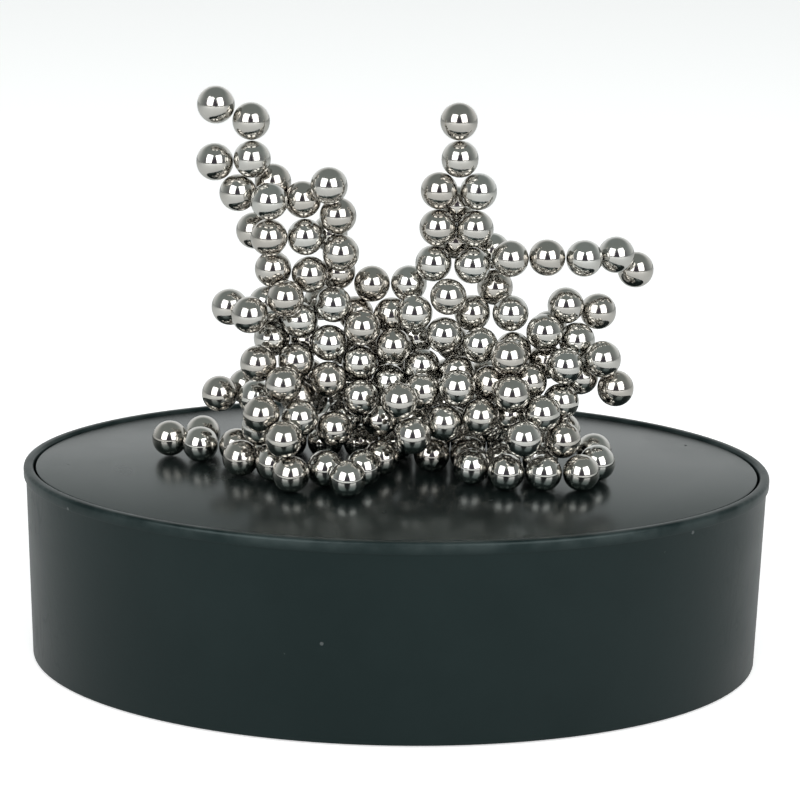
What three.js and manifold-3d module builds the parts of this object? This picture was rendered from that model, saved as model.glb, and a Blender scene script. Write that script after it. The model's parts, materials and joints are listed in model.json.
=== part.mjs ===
// Magnetic desk sculpture: an oval magnetic base and a heap of loose bright balls that cling to it.
// Millimetres, +Z up, +X along the base, the origin under the middle of the base on the table.
import * as THREE from "three";
import { mergeVertices } from "three/addons/utils/BufferGeometryUtils.js";
import Module from "manifold-3d";

const wasm = await Module();
wasm.setup();

// ---- driving sizes -------------------------------------------------------------------------

const base_length = 99;
const base_width = 59.4;
const base_height = 27.1;
const oval_sides = 48;

const wall = 2.2;
const lip_overhang = 0.3;
const lip_width = 1.3;
const lip_height = 1.5;
const lip_round = 0.45;
const bottom_chamfer = 0.25;
const ledge_width = 5;
const ledge_height = 1.6;

const plate_thickness = 2;
const plate_recess = 0.3;
const plate_gap = 0.25;

const fit_gap = 0.2;
const cover_thickness = 2;
const iron_thickness = 2;

const boss_radius = 3.1;
const boss_angle = 58;
const screw_shank_radius = 1.2;
const screw_length = 9;
const screw_head_radius = 2.2;
const screw_head_height = 1.1;
const screw_slot_width = 0.6;
const screw_slot_depth = 0.5;

const foot_radius = 4.5;
const foot_thickness = 1.5;
const foot_proud = 0.3;
const foot_angle = 35;
const foot_inset = 9;

const ball_diameter = 4.76;
const touch_gap = 0.05;
const neck_radius = 0.4;

// How the heap settles: spans are in ball diameters, pulls are shares of a span for each round.
const settle_rounds = 500;
const packing_rounds = 600;
const cling_reach = 1.22;
const cling_pull = 0.09;
const home_pull = 0.03;

// ---- heights and insets worked out from them --------------------------------------------------

const cover_bottom = foot_proud;
const cover_top = cover_bottom + cover_thickness;
const iron_bottom = cover_top + fit_gap;
const iron_top = iron_bottom + iron_thickness;
const plate_top = base_height - plate_recess;
const plate_bottom = plate_top - plate_thickness;
const ledge_top = plate_bottom - fit_gap;
const ledge_bottom = ledge_top - ledge_height;
const magnet_bottom = iron_top + fit_gap;
const magnet_top = plate_bottom - fit_gap;
const wall_inset = lip_overhang + wall;
const core_inset = wall_inset + 2 * boss_radius + fit_gap;
const ball_radius = ball_diameter / 2;

// ---- finishes ---------------------------------------------------------------------------------

const finish = (color, roughness, metalness) =>
  new THREE.MeshStandardMaterial({ color, roughness, metalness });
const satin_black = finish(0x23282a, 0.42, 0);
const plate_black = finish(0x4d5856, 0.38, 0.2);
const ferrite_grey = finish(0x2e2d2c, 0.85, 0);
const zinc_steel = finish(0xa9adb0, 0.4, 1);
const cover_black = finish(0x1c1e1f, 0.6, 0);
const foot_rubber = finish(0x151515, 0.9, 0);
const bright_nickel = finish(0xd8d4cc, 0.08, 1);

// ---- solids -----------------------------------------------------------------------------------

// A closed geometry as a solid that can be joined and cut.
function solid(geometry) {
  geometry.deleteAttribute("normal");
  geometry.deleteAttribute("uv");
  const merged = mergeVertices(geometry, 1e-4);
  return new wasm.Manifold(
    new wasm.Mesh({
      numProp: 3,
      vertProperties: new Float32Array(merged.attributes.position.array),
      triVerts: new Uint32Array(merged.index.array),
    }),
  );
}

const group = new THREE.Group();

// Puts a finished solid in the group as one named mesh.
function place(name, body, material) {
  const { vertProperties, triVerts } = body.getMesh();
  const geometry = new THREE.BufferGeometry()
    .setAttribute("position", new THREE.BufferAttribute(vertProperties, 3))
    .setIndex(new THREE.BufferAttribute(triVerts, 1));
  geometry.computeVertexNormals();
  const mesh = new THREE.Mesh(geometry, material);
  mesh.name = name;
  group.add(mesh);
}

// A point of the base's oval, moved in along the oval's normal by an inset.
function ovalPoint(angle, inset) {
  const half_length = base_length / 2;
  const half_width = base_width / 2;
  const x = half_length * Math.cos(angle);
  const y = half_width * Math.sin(angle);
  const normal = new THREE.Vector2(x / half_length ** 2, y / half_width ** 2).normalize();
  return new THREE.Vector2(x - normal.x * inset, y - normal.y * inset);
}

function ovalPoints(inset) {
  return Array.from({ length: oval_sides }, (_, k) =>
    ovalPoint((2 * Math.PI * k) / oval_sides, inset),
  );
}

// An upright oval slab between two heights.
function ovalSlab(inset, bottom, top) {
  const shape = new THREE.Shape(ovalPoints(inset));
  const geometry = new THREE.ExtrudeGeometry(shape, { depth: top - bottom, bevelEnabled: false });
  return solid(geometry.translate(0, 0, bottom));
}

// A closed profile of [inset, height] points, carried once round the oval.
function ovalRing(profile) {
  const rows = profile.map(([inset]) => ovalPoints(inset));
  const positions = [];
  for (let side = 0; side < oval_sides; side++)
    profile.forEach(([, height], k) => positions.push(rows[k][side].x, rows[k][side].y, height));
  const count = profile.length;
  const corner = (side, k) => (side % oval_sides) * count + (k % count);
  const index = [];
  for (let side = 0; side < oval_sides; side++)
    for (let k = 0; k < count; k++) {
      index.push(corner(side, k), corner(side + 1, k), corner(side + 1, k + 1));
      index.push(corner(side, k), corner(side + 1, k + 1), corner(side, k + 1));
    }
  const geometry = new THREE.BufferGeometry()
    .setAttribute("position", new THREE.BufferAttribute(new Float32Array(positions), 3))
    .setIndex(index);
  return solid(geometry);
}

// An upright cylinder between two heights, over a point of the plan.
function pillar(spot, radius, bottom, top, sides) {
  const geometry = new THREE.CylinderGeometry(radius, radius, top - bottom, sides)
    .rotateX(Math.PI / 2)
    .translate(spot.x, spot.y, (bottom + top) / 2);
  return solid(geometry);
}

// The four mirrored copies of a place on the oval, named by the corner they stand at.
function corners(degrees, inset) {
  const spot = ovalPoint(THREE.MathUtils.degToRad(degrees), inset);
  return [
    ["front_left", new THREE.Vector2(-spot.x, -spot.y)],
    ["front_right", new THREE.Vector2(spot.x, -spot.y)],
    ["rear_left", new THREE.Vector2(-spot.x, spot.y)],
    ["rear_right", new THREE.Vector2(spot.x, spot.y)],
  ];
}

// ---- base -------------------------------------------------------------------------------------

const screw_corners = corners(boss_angle, wall_inset + boss_radius * 0.8);
const foot_corners = corners(foot_angle, foot_inset);
const screw_top = cover_bottom + screw_head_height + fit_gap + screw_length;

// The casing: a straight oval wall with a rounded lip, a ledge under the plate and screw bosses.
function casing() {
  const lip_bottom = base_height - lip_height;
  const arc = (centre_inset, start) =>
    [0, 45, 90].map((degrees) => {
      const turn = THREE.MathUtils.degToRad(start + degrees);
      return [
        centre_inset - lip_round * Math.cos(turn),
        base_height - lip_round + lip_round * Math.sin(turn),
      ];
    });
  const profile = [
    [wall_inset, cover_bottom],
    [lip_overhang + bottom_chamfer, cover_bottom],
    [lip_overhang, cover_bottom + bottom_chamfer],
    [lip_overhang, lip_bottom],
    [0, lip_bottom + lip_overhang],
    ...arc(lip_round, 0),
    ...arc(lip_width - lip_round, 90),
    [lip_width, ledge_top],
    [ledge_width, ledge_top],
    [ledge_width, ledge_bottom],
    [wall_inset, ledge_bottom - (ledge_width - wall_inset)],
  ];
  let body = ovalRing(profile);
  for (const [, spot] of screw_corners) {
    body = body.add(pillar(spot, boss_radius, cover_top + fit_gap, ledge_top - fit_gap, 12));
    const hole = screw_shank_radius + fit_gap;
    body = body.subtract(pillar(spot, hole, cover_bottom, screw_top + fit_gap, 8));
  }
  return body;
}

function bottomCover() {
  let body = ovalSlab(wall_inset + fit_gap, cover_bottom, cover_top);
  for (const [, spot] of screw_corners) {
    const seat = cover_bottom + screw_head_height + fit_gap;
    body = body.subtract(pillar(spot, screw_head_radius + fit_gap, 0, seat, 12));
    body = body.subtract(pillar(spot, screw_shank_radius + fit_gap, 0, base_height, 8));
  }
  for (const [, spot] of foot_corners) {
    const recess = foot_thickness + fit_gap;
    body = body.subtract(pillar(spot, foot_radius + fit_gap, 0, recess, 20));
  }
  return body;
}

// A pan-head screw standing head down, with a slot across its head.
function screw(spot) {
  const head_bottom = cover_bottom + fit_gap;
  const head_top = head_bottom + screw_head_height - fit_gap;
  const head = pillar(spot, screw_head_radius, head_bottom, head_top, 12);
  const shank = pillar(spot, screw_shank_radius, head_bottom, head_top + screw_length, 8);
  const slot = new THREE.BoxGeometry(
    3 * screw_head_radius,
    screw_slot_width,
    2 * screw_slot_depth,
  ).translate(spot.x, spot.y, head_bottom);
  return head.add(shank).subtract(solid(slot));
}

place("base_casing", casing(), satin_black);
place("top_plate", ovalSlab(lip_width + plate_gap, plate_bottom, plate_top), plate_black);
place("ferrite_magnet", ovalSlab(core_inset, magnet_bottom, magnet_top), ferrite_grey);
place("back_iron", ovalSlab(core_inset, iron_bottom, iron_top), zinc_steel);
place("bottom_cover", bottomCover(), cover_black);
for (const [corner, spot] of screw_corners) place("cover_screw_" + corner, screw(spot), zinc_steel);
for (const [corner, spot] of foot_corners)
  place("rubber_foot_" + corner, pillar(spot, foot_radius, 0, foot_thickness, 20), foot_rubber);

// ---- balls ------------------------------------------------------------------------------------

// A place is in ball diameters from the middle of the plate: across, back and up.
const headings = {
  r: new THREE.Vector3(1, 0, 0),
  l: new THREE.Vector3(-1, 0, 0),
  b: new THREE.Vector3(0, 1, 0),
  f: new THREE.Vector3(0, -1, 0),
  u: new THREE.Vector3(0, 0, 1),
  d: new THREE.Vector3(0, 0, -1),
};

// A walk from ball to ball. A step is a word of heading letters, added up and brought to one ball
// diameter, so "u" climbs straight up and "uur" climbs with a lean to the right.
function walk(start, route = "") {
  const places = [new THREE.Vector3(...start)];
  for (const word of route.split(" ").filter(Boolean)) {
    const step = new THREE.Vector3();
    for (const letter of word) step.add(headings[letter]);
    places.push(places.at(-1).clone().add(step.normalize()));
  }
  return places.map((spot) => spot.toArray());
}

// A straight row of balls to the right.
function row(count, start) {
  return walk(start, "r ".repeat(count - 1));
}

// The chains start on a grid of half balls and walk from there, and the heap then settles. The
// balls of one chain cling to each other and come away together.
const on_plate = 0.5;
const chains = {
  left_tower_tip_ball: walk([-5, 0, 10]),
  left_tower_neck_chain: walk([-4, 0, 9.5], "d ddl"),
  left_tower_side_ball: walk([-5, 0, 8.5]),
  left_tower_shoulder_chain: walk([-3.5, -0.5, 7.5], "bbu rrfd"),
  left_tower_inner_tip_ball: walk([-2, -0.5, 8]),
  left_tower_inner_chain: walk([-1.5, 0, 7], "d lbu"),
  left_tower_waist_chain: walk([-4, 0.5, 6.5], "ffr rrb"),
  left_tower_root_chain: walk([-3.5, 0, 5.5], "r rrb rrd"),

  spire_tip_ball: walk([1.5, 0, 9.5]),
  spire_upper_chain: walk([1.5, 0, 8.5], "ddl r lbd"),
  spire_waist_chain: walk([1, 0, 7], "r lbd"),
  spire_root_chain: walk([1, 0, 6], "r rb d"),

  right_arm_tip_ball: walk([6.5, 1, 5.5]),
  right_arm_chain: walk([3, 0, 6], "r r rrb"),
  right_wing_chain: walk([5.5, 0.5, 4.5], "llf ddr llb"),
  right_shoulder_chain: walk([2, 0, 4.5], "r ddf rru"),
  right_outer_ball: walk([6, -0.5, 2.5]),
  right_outer_chain: walk([5.5, -0.5, 3.5], "ddbl ubb"),
  right_flank_chain: walk([4, 0, 3.5], "rffd lld rrd"),
  right_inner_chain: walk([3, -1, 3.5], "llb ddf rrf"),

  centre_top_chain: walk([0, 0.5, 5], "rffd rru d"),
  centre_middle_chain: walk([1.5, -0.5, 3], "llb lld u"),
  centre_front_chain: walk([0, -2, 2.5], "rb r ddfl"),
  front_overhang_ball: walk([0.5, -2, 1.5]),
  front_row_chain: walk([2, -1.5, 2], "rrb rrf lffd"),
  right_step_chain: walk([5.5, 0, on_plate], "f ffl uubl b"),
  plate_front_right_chain: walk([1, -0.5, on_plate], "r rrf r f l llb"),

  left_flank_tip_ball: walk([-4.5, 0, 4.5]),
  left_flank_upper_chain: walk([-3.5, 0, 4.5], "rffu lld"),
  left_flank_middle_chain: walk([-3.5, 0, 3.5], "rru rru"),
  left_centre_chain: walk([-2, -0.5, 3.5], "rru rbb"),
  left_lower_chain: walk([-3, -0.5, 3], "llf rrfd rbbd"),
  left_inner_chain: walk([-1, -0.5, 3], "lllfd rrd"),
  left_step_chain: walk([-3, -2.5, 1.5], "rbbu rrbd"),
  left_ledge_chain: walk([-5, 0, 2], "rb ffr ffd ffu"),
  plate_lone_ball: walk([-6.5, 0.5, on_plate]),
  plate_left_chain: walk([-5.5, 1, on_plate], "f r"),
  plate_front_left_chain: walk([-3.5, -0.5, on_plate], "lf rrf ffr"),
  plate_front_chain: walk([-2, -2, on_plate], "rf rbb rbb"),

  plate_middle_chain: row(8, [-3, 0.5, on_plate]),
  plate_rear_chain: row(7, [-3, 1.5, on_plate]),
  plate_back_chain: row(5, [-2, 2.5, on_plate]),
  second_layer_middle_chain: row(5, [-1.5, -0.5, 1.5]),
  second_layer_rear_chain: row(6, [-2.5, 1, 1.5]),
  third_layer_rear_chain: row(7, [-2.5, 0.5, 2.5]),
  fourth_layer_rear_chain: row(5, [-2.5, 0.5, 3.5]),
  upper_rear_chain: walk([-3, 0.5, 4.5], "r rrd"),
};

// Moves the balls, in small rounds, until neighbours touch and none sink into each other.
function settle(places) {
  const spacing = 1 + touch_gap / ball_diameter;
  const homes = places.map((spot) => new THREE.Vector3(...spot));
  const spots = homes.map((home) => home.clone());
  const step = new THREE.Vector3();
  for (let round = 0; round < settle_rounds + packing_rounds; round++) {
    const packing = round >= settle_rounds;
    const moves = spots.map((spot, k) =>
      packing ? new THREE.Vector3() : homes[k].clone().sub(spot).multiplyScalar(home_pull),
    );
    for (let a = 0; a < spots.length; a++)
      for (let b = a + 1; b < spots.length; b++) {
        step.subVectors(spots[a], spots[b]);
        const apart = step.length();
        if (apart > cling_reach || (packing && apart > spacing)) continue;
        const push = apart < spacing ? (spacing - apart) / 2 : (spacing - apart) * cling_pull;
        step.multiplyScalar(push / apart);
        moves[a].add(step);
        moves[b].sub(step);
      }
    spots.forEach((spot, k) => {
      spot.add(moves[k]);
      const resting = homes[k].z === on_plate;
      spot.z = resting ? on_plate : Math.max(spot.z, on_plate);
    });
  }
  return spots;
}

// A faceted ball: the grid of a cube pushed out to the ball's surface.
function ball(centre) {
  const geometry = new THREE.BoxGeometry(1, 1, 1, 2, 2, 2);
  const { position } = geometry.attributes;
  const point = new THREE.Vector3();
  for (let k = 0; k < position.count; k++) {
    point.fromBufferAttribute(position, k).setLength(ball_radius);
    position.setXYZ(k, point.x, point.y, point.z);
  }
  return solid(geometry.translate(...centre));
}

// The short neck that stands for the magnetic hold between two touching balls.
function neck(from, to) {
  const along = to.clone().sub(from);
  const length = along.length() - ball_radius;
  const turn = new THREE.Quaternion().setFromUnitVectors(
    new THREE.Vector3(0, 1, 0),
    along.normalize(),
  );
  const middle = from.clone().lerp(to, 0.5);
  const geometry = new THREE.CylinderGeometry(neck_radius, neck_radius, length, 3)
    .applyQuaternion(turn)
    .translate(...middle);
  return solid(geometry);
}

// The balls of one chain, each joined to the nearest ball before it.
function chain(centres) {
  let body = ball(centres[0]);
  centres.slice(1).forEach((centre, k) => {
    const earlier = centres.slice(0, k + 1);
    earlier.sort((a, b) => a.distanceTo(centre) - b.distanceTo(centre));
    body = body.add(ball(centre)).add(neck(earlier[0], centre));
  });
  return body;
}

const ball_floor = plate_top + touch_gap;
const settled = settle(Object.values(chains).flat());
let used = 0;
for (const [name, places] of Object.entries(chains)) {
  const centres = settled
    .slice(used, used + places.length)
    .map((spot) => spot.clone().multiplyScalar(ball_diameter))
    .map((spot) => spot.setZ(spot.z + ball_floor));
  used += places.length;
  place(name, chain(centres), bright_nickel);
}

export default group;
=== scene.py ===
"""Looks for the magnetic desk sculpture: an oval magnetic base and its heap of loose bright balls."""

import json
import math
import random

import bmesh
import bpy
from mathutils import Matrix, Quaternion, Vector

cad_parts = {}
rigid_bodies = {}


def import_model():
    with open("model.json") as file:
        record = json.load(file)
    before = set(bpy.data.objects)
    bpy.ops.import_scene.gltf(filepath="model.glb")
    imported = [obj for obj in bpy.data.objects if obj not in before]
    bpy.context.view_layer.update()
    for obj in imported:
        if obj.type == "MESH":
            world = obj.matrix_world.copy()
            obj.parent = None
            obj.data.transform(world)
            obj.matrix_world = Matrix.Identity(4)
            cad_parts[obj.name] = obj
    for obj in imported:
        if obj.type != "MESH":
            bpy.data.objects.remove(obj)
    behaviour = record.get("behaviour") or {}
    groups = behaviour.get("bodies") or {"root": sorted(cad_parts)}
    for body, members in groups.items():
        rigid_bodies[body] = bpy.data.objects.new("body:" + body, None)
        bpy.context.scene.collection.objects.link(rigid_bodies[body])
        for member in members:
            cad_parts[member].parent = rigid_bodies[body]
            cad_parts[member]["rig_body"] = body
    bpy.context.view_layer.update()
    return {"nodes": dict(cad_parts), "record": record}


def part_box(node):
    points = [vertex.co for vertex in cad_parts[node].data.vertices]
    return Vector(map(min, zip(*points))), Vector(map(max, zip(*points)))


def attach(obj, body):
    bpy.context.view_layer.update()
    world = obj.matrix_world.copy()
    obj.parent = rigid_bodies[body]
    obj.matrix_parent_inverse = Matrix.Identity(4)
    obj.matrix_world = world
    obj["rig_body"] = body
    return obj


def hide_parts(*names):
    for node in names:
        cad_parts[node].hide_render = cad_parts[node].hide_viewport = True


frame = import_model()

# ---- sizes, in metres, from the frame ------------------------------------------------------------

MM = 0.001
casing_low, casing_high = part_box("base_casing")
plate_low, plate_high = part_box("top_plate")
cover_low, cover_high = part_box("bottom_cover")
foot_low, foot_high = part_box("rubber_foot_front_left")
head_low, head_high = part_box("cover_screw_front_left")
lone_low, lone_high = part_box("plate_lone_ball")

HALF_LENGTH = casing_high.x
HALF_WIDTH = casing_high.y
BALL_RADIUS = (lone_high.z - lone_low.z) / 2
LIP_HEIGHT = 1.5 * MM
LIP_OVERHANG = 0.3 * MM
LIP_WIDTH = 1.3 * MM
LIP_ROUND = 0.45 * MM
WALL = 2.2 * MM
OVAL_SIDES = 160

# How far a corner may be from a level and still count as on it.
LEVEL_SLACK = 0.01 * MM
# Facets that point back to within this distance share a ball, and a ball has at least this many.
SAME_BALL = 0.02 * MM
FEWEST_FACETS = 10

CORNERS = ["front_left", "front_right", "rear_left", "rear_right"]


# ---- modelling helpers ---------------------------------------------------------------------------

def deselect_all():
    if bpy.context.object and bpy.context.object.mode != "OBJECT":
        bpy.ops.object.mode_set(mode="OBJECT")
    bpy.ops.object.select_all(action="DESELECT")


def named(name):
    """Names the primitive just added and opens it with nothing selected."""
    piece = bpy.context.object
    piece.name = name
    piece.data.name = name
    bpy.ops.object.mode_set(mode="EDIT")
    bpy.ops.mesh.select_all(action="DESELECT")
    return piece


def pick_faces(piece, wanted):
    """Selects the faces whose centre and normal pass the test."""
    bpy.ops.mesh.select_mode(type="FACE")
    bpy.ops.mesh.select_all(action="DESELECT")
    shape = bmesh.from_edit_mesh(piece.data)
    for face in shape.faces:
        face.select_set(wanted(face.calc_center_median(), face.normal))
    bmesh.update_edit_mesh(piece.data)


def pick_edges(piece, wanted):
    """Selects the edges whose two ends both pass the test."""
    bpy.ops.mesh.select_mode(type="EDGE")
    bpy.ops.mesh.select_all(action="DESELECT")
    shape = bmesh.from_edit_mesh(piece.data)
    for edge in shape.edges:
        edge.select_set(all(wanted(corner.co) for corner in edge.verts))
    bmesh.update_edit_mesh(piece.data)


def close_piece(piece, angle=35):
    bpy.ops.object.mode_set(mode="OBJECT")
    bpy.ops.object.shade_smooth_by_angle(angle=math.radians(angle))
    bpy.ops.object.transform_apply(location=True, rotation=True, scale=True)
    return piece


def apply_modifier(piece, kind, **settings):
    """Adds a modifier to a piece that is in object mode, and applies it."""
    deselect_all()
    piece.select_set(True)
    bpy.context.view_layer.objects.active = piece
    modifier = piece.modifiers.new(kind.lower(), kind)
    for key, value in settings.items():
        setattr(modifier, key, value)
    bpy.ops.object.modifier_apply(modifier=modifier.name)


def oval_block(name, low, high):
    """A closed oval cylinder as long and wide as the lip, between two heights, open for editing."""
    deselect_all()
    bpy.ops.mesh.primitive_cylinder_add(
        vertices=OVAL_SIDES, radius=1, depth=high - low, end_fill_type="NGON",
        location=(0, 0, (low + high) / 2),
    )
    piece = bpy.context.object
    piece.scale = (HALF_LENGTH, HALF_WIDTH, 1)
    bpy.ops.object.transform_apply(location=True, rotation=True, scale=True)
    named(name)
    return piece


# ---- node helpers --------------------------------------------------------------------------------

def add_node(tree, kind, **values):
    """A node with its properties and its unlinked inputs set by name."""
    node = tree.nodes.new(kind)
    for key, value in values.items():
        if hasattr(node, key) and key not in node.inputs:
            setattr(node, key, value)
        else:
            node.inputs[key.replace("_", " ")].default_value = value
    return node


def noise(tree, vector, scale, detail=3.0, roughness=0.5):
    node = add_node(tree, "ShaderNodeTexNoise")
    node.inputs["Scale"].default_value = scale
    node.inputs["Detail"].default_value = detail
    node.inputs["Roughness"].default_value = roughness
    tree.links.new(vector, node.inputs["Vector"])
    return node.outputs["Fac"]


def ramp(tree, value, low, high, out_low=0.0, out_high=1.0):
    """Carries a value from one span to another, held at both ends."""
    node = tree.nodes.new("ShaderNodeMapRange")
    for name, number in (
        ("From Min", low), ("From Max", high), ("To Min", out_low), ("To Max", out_high),
    ):
        node.inputs[name].default_value = number
    tree.links.new(value, node.inputs["Value"])
    return node.outputs["Result"]


def combine(tree, operation, first, second):
    node = tree.nodes.new("ShaderNodeMath")
    node.operation = operation
    for socket, value in zip(node.inputs, (first, second)):
        if isinstance(value, (int, float)):
            socket.default_value = value
        else:
            tree.links.new(value, socket)
    return node.outputs["Value"]


def blend_colour(tree, mask, first, second):
    node = tree.nodes.new("ShaderNodeMix")
    node.data_type = "RGBA"
    tree.links.new(mask, node.inputs["Factor"])
    for socket, value in ((node.inputs["A"], first), (node.inputs["B"], second)):
        if isinstance(value, tuple):
            socket.default_value = (*value, 1)
        else:
            tree.links.new(value, socket)
    return node.outputs["Result"]


def object_place(tree):
    return tree.nodes.new("ShaderNodeTexCoord").outputs["Object"]


def new_group(name, inputs, outputs):
    """An empty shader node group with float inputs and outputs."""
    tree = bpy.data.node_groups.new(name, "ShaderNodeTree")
    for socket, value in inputs.items():
        made = tree.interface.new_socket(socket, in_out="INPUT", socket_type="NodeSocketFloat")
        made.default_value = value
    for socket in outputs:
        tree.interface.new_socket(socket, in_out="OUTPUT", socket_type="NodeSocketFloat")
    return tree, tree.nodes.new("NodeGroupInput"), tree.nodes.new("NodeGroupOutput")


def use_group(tree, group, **values):
    node = tree.nodes.new("ShaderNodeGroup")
    node.node_tree = group
    for key, value in values.items():
        node.inputs[key.replace("_", " ")].default_value = value
    return node


# ---- shared effects ------------------------------------------------------------------------------

def make_finger_marks():
    """Broad soft patches left by handling."""
    tree, given, result = new_group("finger_marks", {"Scale": 60.0, "Contrast": 1.0}, ["Mask"])
    place = object_place(tree)
    cloud = tree.nodes.new("ShaderNodeTexNoise")
    cloud.inputs["Detail"].default_value = 5
    cloud.inputs["Roughness"].default_value = 0.62
    tree.links.new(place, cloud.inputs["Vector"])
    tree.links.new(given.outputs["Scale"], cloud.inputs["Scale"])
    soft = ramp(tree, cloud.outputs["Fac"], 0.42, 0.68)
    tree.links.new(combine(tree, "MULTIPLY", soft, given.outputs["Contrast"]), result.inputs["Mask"])
    return tree


def make_dust():
    """Sparse small specks."""
    tree, given, result = new_group("dust", {"Scale": 500.0, "Size": 0.12}, ["Mask"])
    place = object_place(tree)
    cells = tree.nodes.new("ShaderNodeTexVoronoi")
    cells.inputs["Randomness"].default_value = 1
    tree.links.new(place, cells.inputs["Vector"])
    tree.links.new(given.outputs["Scale"], cells.inputs["Scale"])
    dots = combine(tree, "LESS_THAN", cells.outputs["Distance"], given.outputs["Size"])
    chosen = combine(tree, "GREATER_THAN", noise(tree, place, 170, 2), 0.63)
    tree.links.new(combine(tree, "MULTIPLY", dots, chosen), result.inputs["Mask"])
    return tree


def make_hairlines():
    """Fine crossing scratches, as a mask and as a height."""
    tree, given, result = new_group("hairlines", {"Scale": 120.0, "Cover": 0.5}, ["Mask"])
    place = object_place(tree)
    lines = []
    for turn, stretch in ((0.5, (1, 14, 3)), (1.9, (12, 1, 5)), (2.7, (3, 9, 1))):
        mapping = tree.nodes.new("ShaderNodeMapping")
        mapping.inputs["Rotation"].default_value = (turn, turn * 0.6, turn * 1.3)
        mapping.inputs["Scale"].default_value = stretch
        tree.links.new(place, mapping.inputs["Vector"])
        strands = tree.nodes.new("ShaderNodeTexNoise")
        strands.inputs["Detail"].default_value = 2
        tree.links.new(mapping.outputs["Vector"], strands.inputs["Vector"])
        tree.links.new(given.outputs["Scale"], strands.inputs["Scale"])
        away = combine(tree, "ABSOLUTE", combine(tree, "SUBTRACT", strands.outputs["Fac"], 0.5), 0)
        lines.append(ramp(tree, away, 0.0, 0.012, 1.0, 0.0))
    both = combine(tree, "MAXIMUM", lines[0], lines[1])
    every = combine(tree, "MAXIMUM", both, lines[2])
    patch = ramp(tree, noise(tree, place, 90, 2), 0.45, 0.62)
    worn = combine(tree, "MULTIPLY", every, patch)
    tree.links.new(combine(tree, "MULTIPLY", worn, given.outputs["Cover"]), result.inputs["Mask"])
    return tree


def make_mould_grain():
    """The fine even grain of a moulded or lacquered face, as a height."""
    tree, given, result = new_group("mould_grain", {"Scale": 1800.0}, ["Height"])
    place = object_place(tree)
    fine = tree.nodes.new("ShaderNodeTexNoise")
    fine.inputs["Detail"].default_value = 3
    tree.links.new(place, fine.inputs["Vector"])
    tree.links.new(given.outputs["Scale"], fine.inputs["Scale"])
    ripple = ramp(tree, noise(tree, place, 55, 2), 0.3, 0.7, 0.0, 0.6)
    tree.links.new(combine(tree, "ADD", fine.outputs["Fac"], ripple), result.inputs["Height"])
    return tree


FINGER_MARKS = make_finger_marks()
DUST = make_dust()
HAIRLINES = make_hairlines()
MOULD_GRAIN = make_mould_grain()


# ---- materials -----------------------------------------------------------------------------------

def new_material(name, metallic=0.0, coat=0.0, specular=0.5):
    """A material with its shader set up; returns it with its node tree and its shader."""
    material = bpy.data.materials.new(name)
    material.use_nodes = True
    tree = material.node_tree
    shader = tree.nodes["Principled BSDF"]
    shader.inputs["Metallic"].default_value = metallic
    shader.inputs["Coat Weight"].default_value = coat
    shader.inputs["Specular IOR Level"].default_value = specular
    return material, tree, shader


def bump_from(tree, shader, height, strength, distance):
    node = tree.nodes.new("ShaderNodeBump")
    node.inputs["Strength"].default_value = strength
    node.inputs["Distance"].default_value = distance
    tree.links.new(height, node.inputs["Height"])
    tree.links.new(node.outputs["Normal"], shader.inputs["Normal"])


def bright_nickel():
    """Mirror nickel plate: each ball a little warmer or duller, with hairlines and finger film."""
    material, tree, shader = new_material("bright_nickel", metallic=1.0)
    tone = tree.nodes.new("ShaderNodeAttribute")
    tone.attribute_name = "tone"
    marks = use_group(tree, FINGER_MARKS, Scale=420.0).outputs["Mask"]
    lines = use_group(tree, HAIRLINES, Scale=260.0, Cover=0.7).outputs["Mask"]
    plating = blend_colour(tree, tone.outputs["Fac"], (0.58, 0.58, 0.555), (0.50, 0.475, 0.44))
    film = combine(tree, "MULTIPLY", marks, 0.35)
    tree.links.new(blend_colour(tree, film, plating, (0.45, 0.42, 0.37)), shader.inputs["Base Color"])
    film_rough = ramp(tree, marks, 0, 1, 0.035, 0.11)
    dull = combine(tree, "MULTIPLY", tone.outputs["Fac"], 0.03)
    worn = combine(tree, "MULTIPLY", lines, 0.12)
    rough = combine(tree, "ADD", combine(tree, "ADD", film_rough, dull), worn)
    tree.links.new(rough, shader.inputs["Roughness"])
    bump_from(tree, shader, lines, 0.08, 0.02 * MM)
    return material


def casing_black():
    """Satin black lacquer over the casing's wall and lip, with a patchy painted highlight along the lip.
    """
    material, tree, shader = new_material("casing_black", specular=0.28)
    shader.inputs["Specular Tint"].default_value = (0.80, 1.0, 0.99, 1)
    place = object_place(tree)
    split = tree.nodes.new("ShaderNodeSeparateXYZ")
    tree.links.new(place, split.inputs["Vector"])
    # Painted highlight: the lacquer is made paler in patches near the top of the lip, standing in for
    # the light the rounded lip catches.
    near_lip = ramp(tree, split.outputs["Z"], casing_high.z - 1.7 * MM, casing_high.z - 0.5 * MM)
    marks = use_group(tree, FINGER_MARKS, Scale=38.0).outputs["Mask"]
    dust = use_group(tree, DUST, Scale=420.0, Size=0.10).outputs["Mask"]
    lines = use_group(tree, HAIRLINES, Scale=30.0, Cover=0.5).outputs["Mask"]
    patches = ramp(tree, noise(tree, place, 240, 4), 0.35, 0.6)
    painted_lip_highlight = combine(tree, "MULTIPLY", near_lip, patches)
    lacquer = blend_colour(tree, marks, (0.0020, 0.0068, 0.0070), (0.0040, 0.0098, 0.0100))
    lip = blend_colour(tree, painted_lip_highlight, lacquer, (0.022, 0.031, 0.031))
    dusty = combine(tree, "MULTIPLY", dust, 0.6)
    tree.links.new(blend_colour(tree, dusty, lip, (0.11, 0.12, 0.12)), shader.inputs["Base Color"])
    satin = ramp(tree, marks, 0, 1, 0.30, 0.38)
    scuffed = combine(tree, "MULTIPLY", lines, 0.10)
    tree.links.new(combine(tree, "ADD", satin, scuffed), shader.inputs["Roughness"])
    grain = use_group(tree, MOULD_GRAIN, Scale=1500.0).outputs["Height"]
    bump_from(tree, shader, grain, 0.22, 0.03 * MM)
    return material


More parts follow.
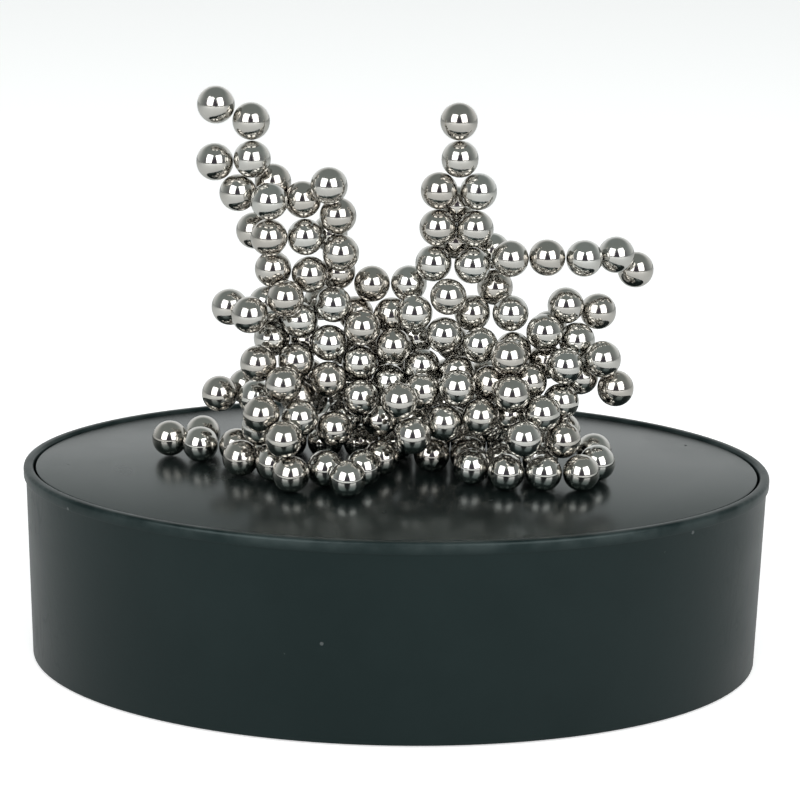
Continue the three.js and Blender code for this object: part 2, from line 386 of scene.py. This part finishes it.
def plate_black():
    """Smooth grey-black lacquer of the plate, with specks and soft rub marks."""
    material, tree, shader = new_material("plate_black", specular=0.5)
    shader.inputs["Specular Tint"].default_value = (0.78, 1.0, 0.98, 1)
    marks = use_group(tree, FINGER_MARKS, Scale=45.0).outputs["Mask"]
    dust = use_group(tree, DUST, Scale=360.0, Size=0.13).outputs["Mask"]
    lines = use_group(tree, HAIRLINES, Scale=34.0, Cover=0.8).outputs["Mask"]
    lacquer = blend_colour(tree, marks, (0.0050, 0.0078, 0.0074), (0.0085, 0.0120, 0.0112))
    speckled = blend_colour(tree, dust, lacquer, (0.001, 0.001, 0.001))
    rub = combine(tree, "MULTIPLY", lines, 0.4)
    tree.links.new(blend_colour(tree, rub, speckled, (0.05, 0.055, 0.055)), shader.inputs["Base Color"])
    satin = ramp(tree, marks, 0, 1, 0.22, 0.29)
    speck_rough = combine(tree, "MULTIPLY", dust, 0.4)
    tree.links.new(combine(tree, "ADD", satin, speck_rough), shader.inputs["Roughness"])
    grain = use_group(tree, MOULD_GRAIN, Scale=1300.0).outputs["Height"]
    bump_from(tree, shader, grain, 0.12, 0.03 * MM)
    return material


def cover_plastic():
    material, tree, shader = new_material("cover_plastic", specular=0.4)
    marks = use_group(tree, FINGER_MARKS, Scale=50.0).outputs["Mask"]
    dust = use_group(tree, DUST, Scale=300.0, Size=0.16).outputs["Mask"]
    plain = blend_colour(tree, marks, (0.012, 0.013, 0.014), (0.020, 0.021, 0.022))
    tree.links.new(blend_colour(tree, dust, plain, (0.10, 0.10, 0.095)), shader.inputs["Base Color"])
    tree.links.new(ramp(tree, marks, 0, 1, 0.52, 0.66), shader.inputs["Roughness"])
    grain = use_group(tree, MOULD_GRAIN, Scale=900.0).outputs["Height"]
    bump_from(tree, shader, grain, 0.5, 0.06 * MM)
    return material


def foot_rubber():
    material, tree, shader = new_material("foot_rubber", specular=0.3)
    marks = use_group(tree, FINGER_MARKS, Scale=150.0).outputs["Mask"]
    dust = use_group(tree, DUST, Scale=700.0, Size=0.2).outputs["Mask"]
    plain = blend_colour(tree, marks, (0.010, 0.010, 0.010), (0.024, 0.023, 0.022))
    tree.links.new(blend_colour(tree, dust, plain, (0.13, 0.125, 0.12)), shader.inputs["Base Color"])
    tree.links.new(ramp(tree, marks, 0, 1, 0.72, 0.88), shader.inputs["Roughness"])
    grain = use_group(tree, MOULD_GRAIN, Scale=2600.0).outputs["Height"]
    bump_from(tree, shader, grain, 0.6, 0.05 * MM)
    return material


def zinc_steel():
    material, tree, shader = new_material("zinc_steel", metallic=1.0)
    marks = use_group(tree, FINGER_MARKS, Scale=260.0).outputs["Mask"]
    lines = use_group(tree, HAIRLINES, Scale=90.0, Cover=1.0).outputs["Mask"]
    zinc = blend_colour(tree, marks, (0.55, 0.57, 0.60), (0.42, 0.42, 0.40))
    tree.links.new(zinc, shader.inputs["Base Color"])
    brushed = combine(tree, "MULTIPLY", lines, 0.15)
    tree.links.new(
        combine(tree, "ADD", ramp(tree, marks, 0, 1, 0.28, 0.42), brushed), shader.inputs["Roughness"]
    )
    bump_from(tree, shader, lines, 0.2, 0.02 * MM)
    return material


def ferrite():
    material, tree, shader = new_material("ferrite", specular=0.35)
    marks = use_group(tree, FINGER_MARKS, Scale=90.0).outputs["Mask"]
    pits = use_group(tree, DUST, Scale=260.0, Size=0.3).outputs["Mask"]
    pressed = blend_colour(tree, marks, (0.028, 0.027, 0.026), (0.050, 0.048, 0.045))
    tree.links.new(blend_colour(tree, pits, pressed, (0.010, 0.010, 0.010)), shader.inputs["Base Color"])
    tree.links.new(ramp(tree, marks, 0, 1, 0.7, 0.9), shader.inputs["Roughness"])
    grain = use_group(tree, MOULD_GRAIN, Scale=700.0).outputs["Height"]
    bump_from(tree, shader, grain, 0.6, 0.08 * MM)
    return material


NICKEL = bright_nickel()
CASING_BLACK = casing_black()
PLATE_BLACK = plate_black()
COVER_PLASTIC = cover_plastic()
FOOT_RUBBER = foot_rubber()
ZINC_STEEL = zinc_steel()
FERRITE = ferrite()


def finish_piece(piece, material, body, slot, *nodes):
    """Gives a finished piece its material and its body, and hides the CAD nodes it stands for. The slot
    is not used.
    """
    piece.data.materials.clear()
    piece.data.materials.append(material)
    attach(piece, body)
    if nodes:
        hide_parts(*nodes)


# ---- base ----------------------------------------------------------------------------------------

def make_casing():
    """The wall hangs from a proud rounded lip, and the plate and cover sit inside it."""
    lip_low = casing_high.z - LIP_HEIGHT
    piece = oval_block("casing_shell", lip_low, casing_high.z)
    pick_faces(piece, lambda c, n: n.z < -0.9)
    bpy.ops.mesh.inset(thickness=LIP_OVERHANG, use_even_offset=True)
    bpy.ops.mesh.extrude_region_move(
        TRANSFORM_OT_translate={"value": (0, 0, casing_low.z - lip_low)}
    )
    bpy.ops.mesh.inset(thickness=WALL, use_even_offset=True)
    bpy.ops.mesh.delete(type="FACE")
    pick_faces(piece, lambda c, n: n.z > 0.9 and c.z > casing_high.z - LEVEL_SLACK)
    bpy.ops.mesh.inset(thickness=LIP_WIDTH, use_even_offset=True)
    bpy.ops.mesh.extrude_region_move(TRANSFORM_OT_translate={"value": (0, 0, -5 * MM)})
    bpy.ops.mesh.inset(thickness=LIP_OVERHANG + WALL - LIP_WIDTH, use_even_offset=True)
    bpy.ops.mesh.delete(type="FACE")
    bpy.ops.mesh.select_mode(type="EDGE")
    bpy.ops.mesh.select_non_manifold()
    bpy.ops.mesh.bridge_edge_loops()
    top = casing_high.z
    pick_edges(piece, lambda p: abs(p.z - top) < LEVEL_SLACK)
    bpy.ops.mesh.bevel(offset=LIP_ROUND, segments=4, affect="EDGES")
    pick_edges(piece, lambda p: abs(p.z - lip_low) < LEVEL_SLACK)
    bpy.ops.mesh.bevel(offset=0.1 * MM, segments=2, affect="EDGES")
    low = casing_low.z
    pick_edges(piece, lambda p: abs(p.z - low) < LEVEL_SLACK)
    bpy.ops.mesh.bevel(offset=0.2 * MM, segments=3, affect="EDGES")
    bpy.ops.mesh.select_all(action="SELECT")
    bpy.ops.mesh.normals_make_consistent(inside=False)
    close_piece(piece, 40)
    finish_piece(piece, CASING_BLACK, "base", "casing_black", "base_casing")


def make_plate():
    piece = oval_block("plate_disc", plate_low.z, plate_high.z)
    share_x = plate_high.x / HALF_LENGTH
    share_y = plate_high.y / HALF_WIDTH
    bpy.ops.mesh.select_all(action="SELECT")
    bpy.ops.transform.resize(value=(share_x, share_y, 1), center_override=(0, 0, 0))
    for level in (plate_high.z, plate_low.z):
        pick_edges(piece, lambda p: abs(p.z - level) < LEVEL_SLACK)
        bpy.ops.mesh.bevel(offset=0.2 * MM, segments=3, affect="EDGES")
    close_piece(piece, 40)
    finish_piece(piece, PLATE_BLACK, "base", "plate_black", "top_plate")


def upright_cutter(radius, low, high, centre, sides=48):
    deselect_all()
    bpy.ops.mesh.primitive_cylinder_add(
        vertices=sides, radius=radius, depth=high - low,
        location=(centre.x, centre.y, (low + high) / 2),
    )
    return bpy.context.object


def cut_away(piece, cutter):
    apply_modifier(piece, "BOOLEAN", object=cutter, operation="DIFFERENCE", solver="EXACT")
    bpy.data.objects.remove(cutter)


def centre_of(node):
    low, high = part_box(node)
    return (low + high) / 2


def make_cover():
    """The moulded cover has foot seats, screw seats and a shallow groove inside its edge."""
    piece = oval_block("cover_panel", cover_low.z, cover_high.z)
    bpy.ops.mesh.select_all(action="SELECT")
    bpy.ops.transform.resize(
        value=(cover_high.x / HALF_LENGTH, cover_high.y / HALF_WIDTH, 1), center_override=(0, 0, 0)
    )
    pick_faces(piece, lambda c, n: n.z < -0.9)
    bpy.ops.mesh.inset(thickness=0.8 * MM, use_even_offset=True)
    bpy.ops.mesh.inset(thickness=0.5 * MM, depth=-0.35 * MM, use_even_offset=True)
    bpy.ops.mesh.inset(thickness=0.5 * MM, depth=0.35 * MM, use_even_offset=True)
    bpy.ops.object.mode_set(mode="OBJECT")
    foot_radius = (foot_high.x - foot_low.x) / 2
    head_radius = (head_high.x - head_low.x) / 2
    clearance = 0.2 * MM
    for corner in CORNERS:
        foot = centre_of("rubber_foot_" + corner)
        screw = centre_of("cover_screw_" + corner)
        seat = foot_high.z + clearance
        cut_away(piece, upright_cutter(foot_radius + clearance, -MM, seat, foot))
        head_top = cover_low.z + 1.3 * MM
        cut_away(piece, upright_cutter(head_radius + clearance, -MM, head_top, screw))
        cut_away(piece, upright_cutter(1.4 * MM, -MM, cover_high.z + MM, screw, 32))
    apply_modifier(piece, "BEVEL", width=0.12 * MM, segments=2, limit_method="ANGLE")
    close_piece(piece, 40)
    finish_piece(piece, COVER_PLASTIC, "base", "cover_black", "bottom_cover")


def make_foot(corner):
    """A round stick-on foot with a rounded edge and a shallow dished sole."""
    low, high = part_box("rubber_foot_" + corner)
    centre = (low + high) / 2
    deselect_all()
    bpy.ops.mesh.primitive_cylinder_add(
        vertices=64, radius=(high.x - low.x) / 2, depth=high.z - low.z, location=centre
    )
    piece = named("foot_pad_" + corner)
    pick_faces(piece, lambda c, n: n.z < -0.9)
    bpy.ops.mesh.inset(thickness=1.1 * MM)
    bpy.ops.mesh.inset(thickness=0.3 * MM, depth=-0.15 * MM)
    half = (high.z - low.z) / 2
    for level in (-half, half):
        radius = (high.x - low.x) / 2 - 0.05 * MM
        pick_edges(piece, lambda p: abs(p.z - level) < LEVEL_SLACK and math.hypot(p.x, p.y) > radius)
        bpy.ops.mesh.bevel(offset=0.35 * MM, segments=4, affect="EDGES")
    close_piece(piece, 40)
    node = "rubber_foot_" + corner
    finish_piece(piece, FOOT_RUBBER, "base", "foot_rubber", node)


def make_screw(corner):
    """A pan-head screw, head down, with a cross recess, a neck and a ribbed shank for its thread."""
    node = "cover_screw_" + corner
    low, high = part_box(node)
    centre = (low + high) / 2
    radius = (high.x - low.x) / 2
    head_height = 0.9 * MM
    deselect_all()
    bpy.ops.mesh.primitive_cylinder_add(
        vertices=48, radius=radius, depth=head_height,
        location=(centre.x, centre.y, low.z + head_height / 2),
    )
    piece = named("screw_" + corner)
    pick_edges(piece, lambda p: p.z < 0 and math.hypot(p.x, p.y) > radius * 0.99)
    bpy.ops.mesh.bevel(offset=0.4 * MM, segments=5, affect="EDGES")
    pick_faces(piece, lambda c, n: n.z > 0.9)
    bpy.ops.mesh.inset(thickness=radius - 1.0 * MM)
    threads = 12
    pitch = (high.z - low.z - head_height) / threads
    for turn in range(threads):
        swell = 1.2 if turn < threads - 1 else 0.8
        bpy.ops.mesh.extrude_region_move(TRANSFORM_OT_translate={"value": (0, 0, pitch / 2)})
        bpy.ops.transform.resize(value=(swell, swell, 1))
        bpy.ops.mesh.extrude_region_move(TRANSFORM_OT_translate={"value": (0, 0, pitch / 2)})
        bpy.ops.transform.resize(value=(1 / swell, 1 / swell, 1))
    close_piece(piece, 40)
    for turn in (0, 90):
        deselect_all()
        bpy.ops.mesh.primitive_cube_add(
            size=1, location=(centre.x, centre.y, low.z), rotation=(0, 0, math.radians(turn + 45))
        )
        blade = bpy.context.object
        blade.scale = (radius * 1.15, 0.45 * MM, 0.9 * MM)
        cut_away(piece, blade)
    bpy.context.view_layer.objects.active = piece
    finish_piece(piece, ZINC_STEEL, "base", "zinc_steel", node)


make_casing()
make_plate()
make_cover()
for corner in CORNERS:
    make_foot(corner)
    make_screw(corner)
for node, material in (("ferrite_magnet", FERRITE), ("back_iron", ZINC_STEEL)):
    frame["nodes"][node].data.materials.clear()
    frame["nodes"][node].data.materials.append(material)


# ---- balls ---------------------------------------------------------------------------------------

def ball_centres(node):
    """The centres of a node's balls: each facet with its corners on a ball points back at one."""
    mesh = frame["nodes"][node].data
    found = []
    for facet in mesh.polygons:
        a, b, c = (mesh.vertices[k].co for k in facet.vertices[:3])
        normal = (b - a).cross(c - a)
        if normal.length < 1e-9:
            continue
        across = normal.length_squared
        middle = a + (
            (c - a).length_squared * normal.cross(b - a)
            + (b - a).length_squared * (c - a).cross(normal)
        ) / (2 * across)
        spread = (a - middle).length
        if spread >= BALL_RADIUS:
            continue
        depth = math.sqrt(BALL_RADIUS**2 - spread**2)
        guess = middle - normal.normalized() * depth
        for entry in found:
            if (entry[0] - guess).length < SAME_BALL:
                entry[1] += 1
                break
        else:
            found.append([guess, 1])
    return [centre for centre, votes in found if votes >= FEWEST_FACETS]


def make_ball_form():
    """One round ball: a cube's grid, finely divided and drawn out to the sphere."""
    deselect_all()
    bpy.ops.mesh.primitive_cube_add(size=2 * BALL_RADIUS)
    form = named("ball_form")
    bpy.ops.mesh.select_all(action="SELECT")
    bpy.ops.mesh.subdivide(number_cuts=8)
    bpy.ops.transform.tosphere(value=1)
    bpy.ops.object.mode_set(mode="OBJECT")
    reach = sum(v.co.length for v in form.data.vertices) / len(form.data.vertices)
    form.data.transform(Matrix.Scale(BALL_RADIUS / reach, 4))
    bpy.ops.object.shade_smooth()
    return form


def make_balls(form, node, chance):
    """Puts a round ball at each of a node's centres, each turned and toned its own way."""
    parts = []
    for centre in ball_centres(node):
        part = form.copy()
        part.data = form.data.copy()
        bpy.context.scene.collection.objects.link(part)
        turn = Quaternion((chance.random(), chance.random(), chance.random()), chance.random() * 6)
        part.data.transform(Matrix.Translation(centre) @ turn.to_matrix().to_4x4())
        tone = part.data.attributes.new("tone", "FLOAT", "POINT")
        share = chance.random()
        tone.data.foreach_set("value", [share] * len(part.data.vertices))
        parts.append(part)
    deselect_all()
    for part in parts:
        part.select_set(True)
    bpy.context.view_layer.objects.active = parts[0]
    if len(parts) > 1:
        bpy.ops.object.join()
    piece = parts[0]
    piece.name = node.replace("_chain", "_balls").replace("_ball", "_bright_ball", 1)
    piece.data.name = piece.name
    body = frame["nodes"][node]["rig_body"]
    finish_piece(piece, NICKEL, body, "ball_nickel", node)
    return len(parts)


def make_heap():
    form = make_ball_form()
    chance = random.Random(7)
    slots = {part["node"]: part["material_slot"] for part in frame["record"]["subparts"]}
    nodes = [node for node in frame["nodes"] if slots[node] == "ball_nickel"]
    total = sum(make_balls(form, node, chance) for node in sorted(nodes))
    bpy.data.objects.remove(form)
    print("balls made:", total)


make_heap()


# ---- floor, lights and camera --------------------------------------------------------------------

def make_floor():
    deselect_all()
    bpy.ops.mesh.primitive_plane_add(size=8)
    floor = bpy.context.object
    floor.name = "studio_floor"
    material, tree, shader = new_material("pale_floor", specular=0.1)
    shader.inputs["Base Color"].default_value = (0.93, 0.93, 0.93, 1)
    shader.inputs["Roughness"].default_value = 0.8
    shader.inputs["Emission Color"].default_value = (1, 1, 1, 1)
    path = tree.nodes.new("ShaderNodeLightPath")
    lift = combine(tree, "MULTIPLY", path.outputs["Is Camera Ray"], 0.5)
    tree.links.new(lift, shader.inputs["Emission Strength"])
    floor.data.materials.append(material)


def make_softbox(name, azimuth, elevation, distance, width, height, power):
    """A soft panel that faces the heap from a compass angle off the camera's side."""
    data = bpy.data.lights.new(name, "AREA")
    data.shape = "RECTANGLE"
    data.size = width
    data.size_y = height
    data.energy = power
    lamp = bpy.data.objects.new(name, data)
    bpy.context.scene.collection.objects.link(lamp)
    turn = math.radians(azimuth)
    rise = math.radians(elevation)
    back = Vector((math.sin(turn) * math.cos(rise), -math.cos(turn) * math.cos(rise), math.sin(rise)))
    centre = Vector((0, 0, plate_high.z + 20 * MM))
    lamp.location = centre + back * distance
    lamp.rotation_mode = "QUATERNION"
    lamp.rotation_quaternion = (-back).to_track_quat("-Z", "Y")


def make_world():
    """A white backdrop behind, grey walls and ceiling, and a dim room behind the camera."""
    world = bpy.context.scene.world or bpy.data.worlds.new("studio")
    bpy.context.scene.world = world
    world.use_nodes = True
    tree = world.node_tree
    background = tree.nodes["Background"]
    place = tree.nodes.new("ShaderNodeTexCoord")
    split = tree.nodes.new("ShaderNodeSeparateXYZ")
    tree.links.new(place.outputs["Generated"], split.inputs["Vector"])
    side = ramp(tree, split.outputs["Y"], -0.85, 0.1)
    rear = ramp(tree, split.outputs["Y"], 0.1, 0.8)
    overhead = ramp(tree, split.outputs["Z"], 0.4, 0.75)
    walls = blend_colour(tree, side, (0.085, 0.077, 0.095), (0.38, 0.41, 0.40))
    backdrop = blend_colour(tree, rear, walls, (0.95, 0.97, 0.97))
    room = blend_colour(tree, overhead, backdrop, (0.27, 0.30, 0.29))
    path = tree.nodes.new("ShaderNodeLightPath")
    seen = blend_colour(tree, path.outputs["Is Camera Ray"], room, (1.0, 1.0, 1.0))
    tree.links.new(seen, background.inputs["Color"])


def make_camera():
    """The eye stands off the plate's middle, low over the table, and aims a little above it."""
    plate_middle = Vector((0, 0, plate_high.z))
    rise = math.radians(18.8)
    distance = 5.18 * HALF_LENGTH
    eye = plate_middle + Vector((0, -math.cos(rise), math.sin(rise))) * distance
    aim = plate_middle + Vector((0.28, 2.8, 8.2)) * MM
    data = bpy.data.cameras.new("camera")
    data.sensor_width = 36
    data.lens = 86.4
    camera = bpy.data.objects.new("camera", data)
    bpy.context.scene.collection.objects.link(camera)
    camera.location = eye
    camera.rotation_mode = "QUATERNION"
    level = (aim - eye).to_track_quat("-Z", "Y")
    camera.rotation_quaternion = level @ Quaternion((0, 0, 1), math.radians(1.05))
    bpy.context.scene.camera = camera


make_floor()
for side, azimuth in (("left", -34), ("right", 34)):
    make_softbox(
        side + "_softbox", azimuth, elevation=27, distance=0.9, width=0.58, height=0.80, power=5.4
    )
make_world()
make_camera()
bpy.context.scene.view_settings.view_transform = "Standard"
